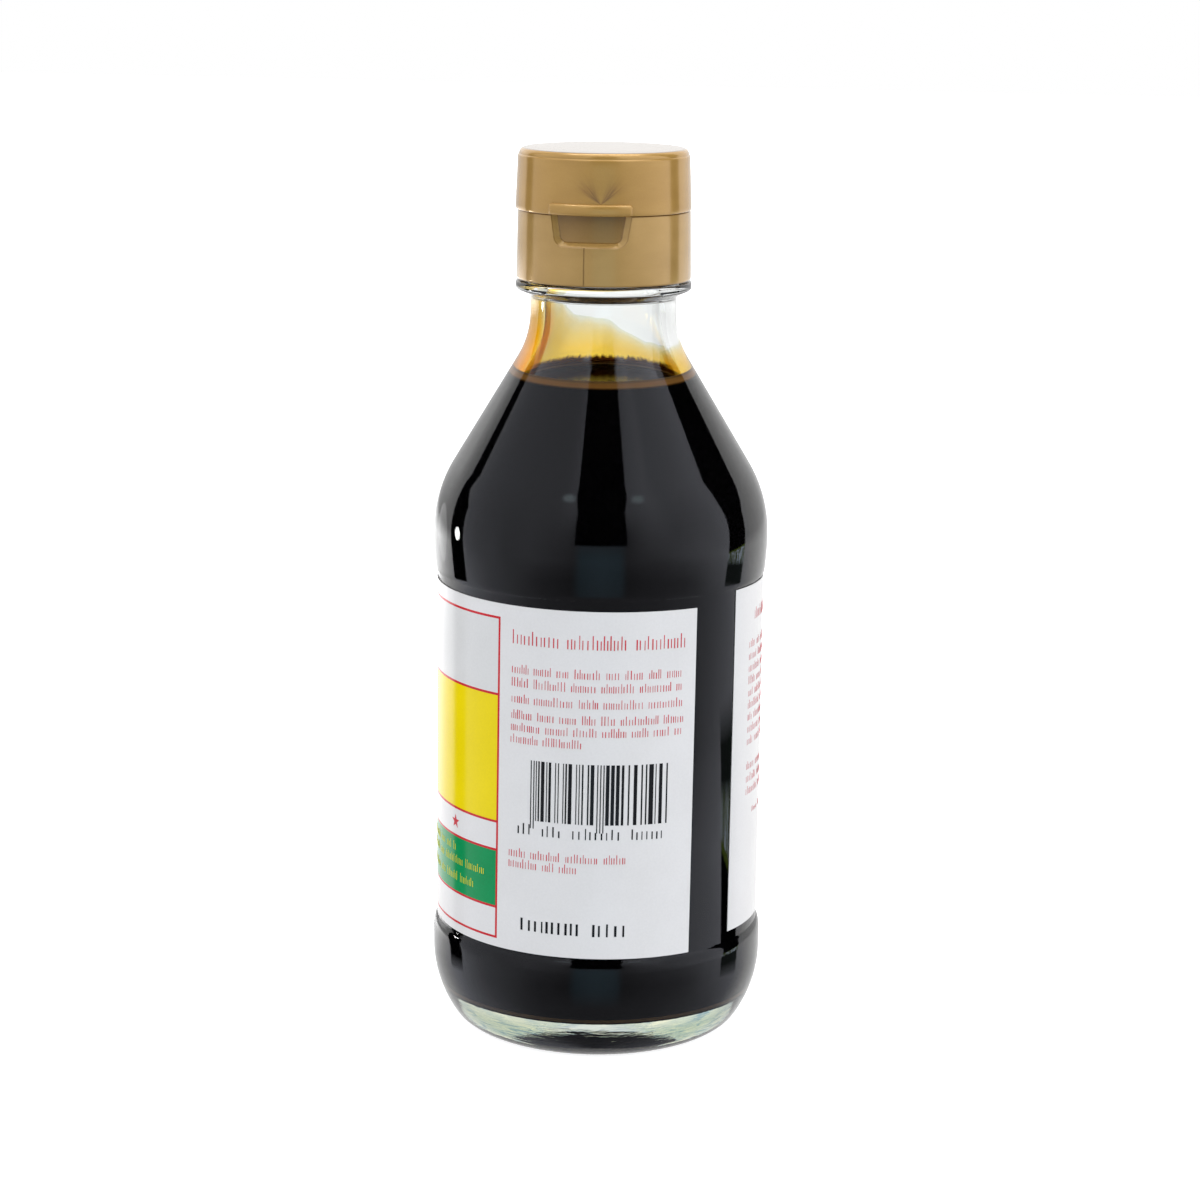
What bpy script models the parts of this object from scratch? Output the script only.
"""A small glass bottle of soy sauce: 58 mm wide and 155 mm tall, with a flip-top cap and a wrap label.

Units are metres and +Z is up. The bottle stands on z = 0 with its axis on the Z axis, and the lid's thumb
tab faces -Y. Each sub-part is one named object with its own material.
"""

import math

import bmesh
import bpy

MM = 0.001

# Fineness of the round shapes
TURN_STEPS = 60
ARC_DEGREES_A_STEP = 10
BEND_STEP = 1.5 * MM
LEAST_STEP = 0.2 * MM
SAME_POINT = 0.001 * MM

# Clear space between pieces that touch
GAP = 0.3 * MM

# Glass bottle, outside
BODY_RADIUS = 29.1 * MM
HEEL_TOP_Z = 14.0 * MM
HEEL_RADIUS = 20.5 * MM
FOOT_RADIUS = 6.0 * MM
SHOULDER_Z = 88.5 * MM
SHOULDER_RADIUS = 23.7 * MM
CONE_DEGREES = 31.0
NECK_RADIUS = 12.55 * MM
NECK_SWEEP_RADIUS = 15.0 * MM
NECK_TOP_Z = 129.4 * MM

# Label panel, sunk into the side of the body
PANEL_RADIUS = 28.1 * MM
PANEL_BOTTOM_Z = 19.3 * MM
PANEL_TOP_Z = 81.95 * MM
LEDGE_RADIUS = 28.7 * MM
LEDGE_HEIGHT = 0.25 * MM
PANEL_EDGE_LOW = 1.5 * MM
PANEL_EDGE_HIGH = 4.5 * MM

# Glass bead under the cap, and the neck finish that the cap sits on
BEAD_RADIUS = 15.1 * MM
BEAD_BOTTOM_Z = 129.95 * MM
BEAD_EDGE_Z = 131.0 * MM
BEAD_TOP_Z = 132.3 * MM
BEAD_ROUNDING = 0.3 * MM
BEAD_UNDER_RADIUS = 12.9 * MM
FINISH_RADIUS = 12.4 * MM
MOUTH_Z = 142.5 * MM
MOUTH_LIP = 0.8 * MM

# Glass thickness and the inside
WALL = 2.4 * MM
NECK_BORE_RADIUS = 9.85 * MM
FLOOR_Z = 7.0 * MM
FLOOR_CORNER_RADIUS = 7.0 * MM
PUSH_UP_HEIGHT = 4.5 * MM
PUSH_UP_RADIUS = 19.3 * MM
PUSH_UP_FULLNESS = 3.0
PUSH_UP_STEPS = 8
PUSH_UP_CROWDING = 1.5

# Sauce
SAUCE_LEVEL_Z = 116.0 * MM

# Cap base
CAP_BOTTOM_RADIUS = 15.0 * MM
CAP_TOP_RADIUS = 14.78 * MM
CAP_BOTTOM_Z = BEAD_TOP_Z + GAP
CAP_TOP_Z = 144.35 * MM
CAP_BORE_RADIUS = FINISH_RADIUS + GAP
CAP_EDGE = 0.25 * MM
MOULD_LINE_WIDTH = 0.25 * MM
MOULD_LINE_DEPTH = 0.12 * MM
MOULD_LINE_X = -0.9 * MM

# Thumb recess in the cap base, measured along the cap's round side
RECESS_TOP_WIDTH = 12.6 * MM
RECESS_BOTTOM_WIDTH = 10.7 * MM
RECESS_BOTTOM_Z = 140.0 * MM
RECESS_CORNER = 1.2 * MM
RECESS_DEPTH = 0.85 * MM

# Lid, with its thumb tab in front and its hinge strap behind
LID_BOTTOM_Z = CAP_TOP_Z + GAP
LID_TOP_Z = 154.8 * MM
LID_RIM_RADIUS = 15.05 * MM
LID_SHOULDER_RADIUS = 14.72 * MM
LID_EDGE_RADIUS = 1.15 * MM
LID_SHIFT_X = -0.15 * MM
TAB_WIDTH = 14.5 * MM
TAB_TOP_Z = 146.4 * MM
TAB_REACH = 0.8 * MM
TAB_ROUNDING = 0.3 * MM
HINGE_WIDTH = 9.0 * MM
HINGE_BOTTOM_Z = 141.6 * MM
HINGE_TOP_Z = 147.2 * MM
HINGE_DEPTH = 1.0 * MM
HINGE_REACH = 0.35 * MM

# Paper label: one strip wrapped round the panel, a little askew, with its ends apart
LABEL_OUTER_RADIUS = 28.5 * MM
LABEL_THICKNESS = 0.15 * MM
LABEL_HEIGHT = 60.5 * MM
LABEL_START_TOP_Z = 81.68 * MM
LABEL_START_DEGREES = 63.8
LABEL_TURN_DEGREES = 340.0
LABEL_SLANT = 0.0097


def arc(centre_r, centre_z, radius, start, end):
    """Points (r, z) of an arc; its angles in degrees are 0 outwards along +r and 90 upwards."""
    steps = max(2, round(abs(end - start) / ARC_DEGREES_A_STEP))
    points = []
    for i in range(steps + 1):
        angle = math.radians(start + (end - start) * i / steps)
        points.append((centre_r + radius * math.cos(angle), centre_z + radius * math.sin(angle)))
    return points


def neck_and_shoulder(inset, neck_radius):
    """The side from a neck of that radius down to the shoulder, that far inside the glass's outer face."""
    cone = math.radians(CONE_DEGREES)
    shoulder_r = BODY_RADIUS - SHOULDER_RADIUS
    shoulder_radius = SHOULDER_RADIUS - inset
    cone_r = shoulder_r + shoulder_radius * math.cos(cone)
    cone_z = SHOULDER_Z + shoulder_radius * math.sin(cone)
    sweep_radius = NECK_SWEEP_RADIUS + inset
    sweep_r = neck_radius + sweep_radius
    touch_r = sweep_r - sweep_radius * math.cos(cone)
    sweep_z = cone_z + (cone_r - touch_r) / math.tan(cone) + sweep_radius * math.sin(cone)
    sweep = arc(sweep_r, sweep_z, sweep_radius, 180, 180 + CONE_DEGREES)
    return sweep + arc(shoulder_r, SHOULDER_Z, shoulder_radius, CONE_DEGREES, 0)


def heel():
    """The outside from the foot of the straight side down to the flat ring that the bottle stands on."""
    centre_r = BODY_RADIUS - HEEL_RADIUS
    turn = math.degrees(math.asin((HEEL_TOP_Z - FOOT_RADIUS) / (HEEL_RADIUS - FOOT_RADIUS)))
    foot_r = centre_r + (HEEL_RADIUS - FOOT_RADIUS) * math.cos(math.radians(turn))
    side = arc(centre_r, HEEL_TOP_Z, HEEL_RADIUS, 0, -turn)
    return side + arc(foot_r, FOOT_RADIUS, FOOT_RADIUS, -turn, -90)[1:]


def push_up():
    """The underside from its edge in to the middle: almost flat there, and steeper towards the ring."""
    points = []
    for i in range(PUSH_UP_STEPS + 1):
        share = 1 - (i / PUSH_UP_STEPS) ** PUSH_UP_CROWDING
        points.append((PUSH_UP_RADIUS * share, PUSH_UP_HEIGHT * (1 - share**PUSH_UP_FULLNESS)))
    return points


def label_panel():
    """The sunk panel between two small ledges, with a long slope above it and a short one below."""
    return [
        (BODY_RADIUS, PANEL_TOP_Z + PANEL_EDGE_HIGH),
        (LEDGE_RADIUS, PANEL_TOP_Z + LEDGE_HEIGHT),
        (PANEL_RADIUS, PANEL_TOP_Z),
        (PANEL_RADIUS, PANEL_BOTTOM_Z),
        (LEDGE_RADIUS, PANEL_BOTTOM_Z - LEDGE_HEIGHT),
        (BODY_RADIUS, PANEL_BOTTOM_Z - PANEL_EDGE_LOW),
    ]


def inside(inset, top_z):
    """The inner wall from the height top_z down to the middle of the floor, that far inside the outer face."""
    side = neck_and_shoulder(inset, NECK_BORE_RADIUS + WALL - inset)
    wall_r = BODY_RADIUS - inset
    floor_z = FLOOR_Z + inset - WALL
    corner = FLOOR_CORNER_RADIUS
    start = [cut_at(side, top_z)] if top_z < side[0][1] else [(side[0][0], top_z)]
    below = [p for p in side if p[1] < top_z - LEAST_STEP]
    round_corner = arc(wall_r - corner, floor_z + corner, corner, 0, -90)
    return start + below + round_corner + [(0, floor_z)]


def cut_at(side, z):
    """The point of a falling line at the height z."""
    for (r0, z0), (r1, z1) in zip(side, side[1:]):
        if z1 <= z <= z0:
            share = (z0 - z) / (z0 - z1)
            return (r0 + (r1 - r0) * share, z)
    raise ValueError("the line doesn't reach that height")


def glass_profile():
    """Up the inner wall from the floor's middle, over the mouth, and down the outside to the push-up."""
    inner_wall = inside(WALL, MOUTH_Z - MOUTH_LIP)[::-1]
    mouth = [
        (NECK_BORE_RADIUS + MOUTH_LIP / 2, MOUTH_Z),
        (FINISH_RADIUS - MOUTH_LIP, MOUTH_Z),
        (FINISH_RADIUS, MOUTH_Z - MOUTH_LIP),
    ]
    bead = [
        (FINISH_RADIUS, BEAD_TOP_Z),
        (BEAD_RADIUS - BEAD_ROUNDING, BEAD_TOP_Z),
        (BEAD_RADIUS, BEAD_TOP_Z - BEAD_ROUNDING),
        (BEAD_RADIUS, BEAD_EDGE_Z),
        (BEAD_UNDER_RADIUS, BEAD_BOTTOM_Z),
        (NECK_RADIUS, NECK_TOP_Z),
    ]
    side = neck_and_shoulder(0, NECK_RADIUS) + label_panel() + heel()
    return inner_wall + mouth + bead + side + push_up()


def sauce_profile():
    """The sauce up to its level, clear of the glass all round."""
    outside = inside(WALL + GAP, SAUCE_LEVEL_Z)
    return [(0, SAUCE_LEVEL_Z)] + outside


def cap_base_profile():
    """A short sleeve, closed on top, that drops over the neck finish and stands on the glass bead."""
    plate_z = MOUTH_Z + GAP
    return [
        (0, CAP_TOP_Z),
        (CAP_TOP_RADIUS - CAP_EDGE, CAP_TOP_Z),
        (CAP_TOP_RADIUS, CAP_TOP_Z - CAP_EDGE),
        (CAP_BOTTOM_RADIUS, CAP_BOTTOM_Z + CAP_EDGE),
        (CAP_BOTTOM_RADIUS - CAP_EDGE, CAP_BOTTOM_Z),
        (CAP_BORE_RADIUS, CAP_BOTTOM_Z),
        (CAP_BORE_RADIUS, plate_z),
        (0, plate_z),
    ]


def lid_profile():
    """The shut lid as one solid disc with a rounded top edge and a slightly flared rim."""
    edge_z = LID_TOP_Z - LID_EDGE_RADIUS
    top_edge = arc(LID_SHOULDER_RADIUS - LID_EDGE_RADIUS, edge_z, LID_EDGE_RADIUS, 90, 0)
    return [
        (0, LID_TOP_Z),
        *top_edge,
        (LID_RIM_RADIUS, LID_BOTTOM_Z + CAP_EDGE),
        (LID_RIM_RADIUS - CAP_EDGE, LID_BOTTOM_Z),
        (0, LID_BOTTOM_Z),
    ]


def collection(name):
    """A new collection in the scene."""
    made = bpy.data.collections.new(name)
    bpy.context.scene.collection.children.link(made)
    return made


def material(name, colour, roughness, metallic=0.0, transmission=0.0):
    """A Principled material for one sub-part; the colour is linear RGB."""
    made = bpy.data.materials.new(name)
    made.use_nodes = True
    shader = made.node_tree.nodes["Principled BSDF"]
    shader.inputs["Base Color"].default_value = (*colour, 1.0)
    shader.inputs["Roughness"].default_value = roughness
    shader.inputs["Metallic"].default_value = metallic
    shader.inputs["Transmission Weight"].default_value = transmission
    made.diffuse_color = (*colour, 1.0)
    return made


def add_object(name, mesh, group, finish):
    """An object of that mesh, in a collection, with its material."""
    mesh.name = name
    obj = bpy.data.objects.new(name, mesh)
    group.objects.link(obj)
    if finish is not None:
        mesh.materials.append(finish)
    return obj


def turned(name, profile, group, finish, degrees=360.0, rise=0.0):
    """A profile at +X, turned about the Z axis by a Screw modifier."""
    mesh = bpy.data.meshes.new(name)
    edges = [(i, i + 1) for i in range(len(profile) - 1)]
    mesh.from_pydata([(r, 0.0, z) for r, z in profile], edges, [])
    obj = add_object(name, mesh, group, finish)
    screw = obj.modifiers.new("Turn", "SCREW")
    screw.axis = "Z"
    screw.angle = math.radians(degrees)
    screw.screw_offset = rise
    screw.steps = TURN_STEPS
    screw.render_steps = TURN_STEPS
    screw.use_merge_vertices = degrees == 360.0
    screw.merge_threshold = SAME_POINT
    screw.use_smooth_shade = True
    return obj


def wrap_round(mesh, radius, facing_degrees=0.0):
    """Bends a flat shape round a cylinder: x runs along its side, and y = 0 lies on its face at -Y."""
    for vertex in mesh.vertices:
        x, y, z = vertex.co
        angle = x / radius + math.radians(facing_degrees)
        reach = radius - y
        vertex.co = (reach * math.sin(angle), -reach * math.cos(angle), z)


def slice_along_x(mesh, spacing, half_width, triangles=False):
    """Cuts a flat shape at even steps along x, so that it can bend.

    Triangles stay flat where other faces wouldn't.
    """
    bm = bmesh.new()
    bm.from_mesh(mesh)
    count = int(half_width / spacing)
    for i in range(-count, count + 1):
        everything = bm.verts[:] + bm.edges[:] + bm.faces[:]
        bmesh.ops.bisect_plane(bm, geom=everything, dist=SAME_POINT, plane_co=(i * spacing, 0, 0),
                               plane_no=(1, 0, 0))
    if triangles:
        bmesh.ops.triangulate(bm, faces=bm.faces)
    bm.to_mesh(mesh)
    bm.free()


def tool(name, mesh, group):
    """An object that only cuts another or joins it."""
    obj = add_object(name, mesh, group, None)
    obj.hide_render = True
    obj.display_type = "WIRE"
    return obj


def bent_bar(name, width, bottom_z, top_z, depth, reach, radius, facing_degrees, group, rounding=0.0):
    """A bar bent round the cap's side, from that depth under the face to that reach outside it.

    With a rounding, the edges between its faces are rounded, and the shallow folds of the bend aren't.
    """
    mesh = bpy.data.meshes.new(name)
    bm = bmesh.new()
    bmesh.ops.create_cube(bm, size=1.0)
    for vertex in bm.verts:
        vertex.co.x *= width
        vertex.co.y = depth if vertex.co.y > 0 else -reach
        vertex.co.z = top_z if vertex.co.z > 0 else bottom_z
    bm.to_mesh(mesh)
    bm.free()
    slice_along_x(mesh, BEND_STEP, width / 2)
    wrap_round(mesh, radius, facing_degrees)
    obj = tool(name, mesh, group)
    if rounding:
        bevel = obj.modifiers.new("Round edges", "BEVEL")
        bevel.width = rounding
        bevel.segments = 2
        bevel.limit_method = "ANGLE"
        bevel.angle_limit = math.radians(60)
    return obj


def recess_cutter(group):
    """The thumb recess: a trapezium with round lower corners and sloping sides, bent round the cap."""
    top_z = CAP_TOP_Z + 2 * MM
    slope = (RECESS_TOP_WIDTH - RECESS_BOTTOM_WIDTH) / 2 / (CAP_TOP_Z - RECESS_BOTTOM_Z)
    half_bottom = RECESS_BOTTOM_WIDTH / 2
    half_top = half_bottom + slope * (top_z - RECESS_BOTTOM_Z)
    corner_x = half_bottom + slope * RECESS_CORNER - RECESS_CORNER
    right = arc(corner_x, RECESS_BOTTOM_Z + RECESS_CORNER, RECESS_CORNER, -90, 0) + [(half_top, top_z)]
    outline = right + [(-x, z) for x, z in reversed(right)]

    curve = bpy.data.curves.new("recess_outline", "CURVE")
    curve.dimensions = "2D"
    curve.fill_mode = "BOTH"
    curve.extrude = RECESS_DEPTH
    curve.bevel_depth = RECESS_DEPTH
    curve.bevel_resolution = 0
    spline = curve.splines.new("POLY")
    spline.points.add(len(outline) - 1)
    for point, (x, z) in zip(spline.points, outline):
        point.co = (x, z, 0, 1)
    spline.use_cyclic_u = True
    flat = bpy.data.objects.new("recess_outline", curve)
    bpy.context.scene.collection.objects.link(flat)
    mesh = bpy.data.meshes.new_from_object(flat.evaluated_get(bpy.context.evaluated_depsgraph_get()))
    bpy.data.objects.remove(flat)

    bm = bmesh.new()
    bm.from_mesh(mesh)
    bmesh.ops.remove_doubles(bm, verts=bm.verts, dist=SAME_POINT)
    for vertex in bm.verts:
        x, z, out = vertex.co
        vertex.co = (x, -out - RECESS_DEPTH, z)
    bmesh.ops.recalc_face_normals(bm, faces=bm.faces)
    bm.to_mesh(mesh)
    bm.free()
    slice_along_x(mesh, BEND_STEP, half_top + RECESS_DEPTH, triangles=True)
    wrap_round(mesh, (CAP_TOP_RADIUS + CAP_BOTTOM_RADIUS) / 2)
    return tool("recess_cutter", mesh, group)


def boolean(target, other, operation):
    """Cuts or joins one object with another, exactly."""
    step = target.modifiers.new(operation.title() + " " + other.name, "BOOLEAN")
    step.operation = operation
    step.object = other
    step.solver = "EXACT"


def make_glass(parts):
    glass = material("clear_glass", (0.86, 0.93, 0.88), 0.02, transmission=1.0)
    return turned("glass_bottle", glass_profile(), parts, glass)


def make_sauce(parts):
    sauce = material("dark_soy_sauce", (0.012, 0.008, 0.006), 0.05)
    return turned("soy_sauce", sauce_profile(), parts, sauce)


def make_cap_base(parts, tools, finish):
    """The base, with its thumb recess, a fine mould line below it and a notch for the hinge strap behind."""
    base = turned("cap_base", cap_base_profile(), parts, finish)
    radius = (CAP_TOP_RADIUS + CAP_BOTTOM_RADIUS) / 2
    line_top_z = RECESS_BOTTOM_Z - RECESS_DEPTH / 2
    line = bent_bar("mould_line_cutter", MOULD_LINE_WIDTH, CAP_BOTTOM_Z - MM, line_top_z,
                    MOULD_LINE_DEPTH, MM, radius, math.degrees(MOULD_LINE_X / radius), tools)
    notch = bent_bar("hinge_notch_cutter", HINGE_WIDTH + 2 * GAP, HINGE_BOTTOM_Z - GAP, CAP_TOP_Z + MM,
                     HINGE_DEPTH + GAP, MM, radius, 180.0, tools)
    boolean(base, recess_cutter(tools), "DIFFERENCE")
    boolean(base, line, "DIFFERENCE")
    boolean(base, notch, "DIFFERENCE")
    return base


def make_lid(parts, tools, finish):
    """The lid, a hair off centre, with the thumb tab and the hinge strap joined to it."""
    lid = turned("cap_lid", lid_profile(), parts, finish)
    lid.location.x = LID_SHIFT_X
    tab = bent_bar("thumb_tab", TAB_WIDTH, LID_BOTTOM_Z, TAB_TOP_Z, 2 * MM, TAB_REACH,
                   LID_RIM_RADIUS, 0.0, tools, TAB_ROUNDING)
    strap = bent_bar("hinge_strap", HINGE_WIDTH, HINGE_BOTTOM_Z, HINGE_TOP_Z, HINGE_DEPTH, HINGE_REACH,
                     (CAP_TOP_RADIUS + CAP_BOTTOM_RADIUS) / 2, 180.0, tools)
    boolean(lid, tab, "UNION")
    boolean(lid, strap, "UNION")
    return lid


def make_label(parts):
    """The paper strip: a line swept round most of a turn while it drops a little, then given its thickness."""
    top_z = LABEL_START_TOP_Z
    line = [(LABEL_OUTER_RADIUS, top_z), (LABEL_OUTER_RADIUS, top_z - LABEL_HEIGHT)]
    drop = LABEL_SLANT * LABEL_OUTER_RADIUS * math.radians(LABEL_TURN_DEGREES)
    paper = material("label_paper", (0.66, 0.66, 0.67), 0.45)
    label = turned("label", line, parts, paper, LABEL_TURN_DEGREES, -drop)
    lean = LABEL_SLANT * LABEL_HEIGHT / 2
    label.data.vertices[0].co.y = lean
    label.data.vertices[1].co.y = -lean
    label.rotation_euler.z = math.radians(LABEL_START_DEGREES - 90.0)
    solid = label.modifiers.new("Paper thickness", "SOLIDIFY")
    solid.thickness = LABEL_THICKNESS
    solid.offset = -1.0
    return label


def main():
    for obj in list(bpy.data.objects):
        bpy.data.objects.remove(obj)
    parts = collection("soy_sauce_bottle")
    tools = collection("cutters")
    gold = material("gold_pearl_plastic", (0.376, 0.246, 0.105), 0.35, metallic=0.3)
    make_glass(parts)
    make_sauce(parts)
    make_cap_base(parts, tools, gold)
    make_lid(parts, tools, gold)
    make_label(parts)


main()
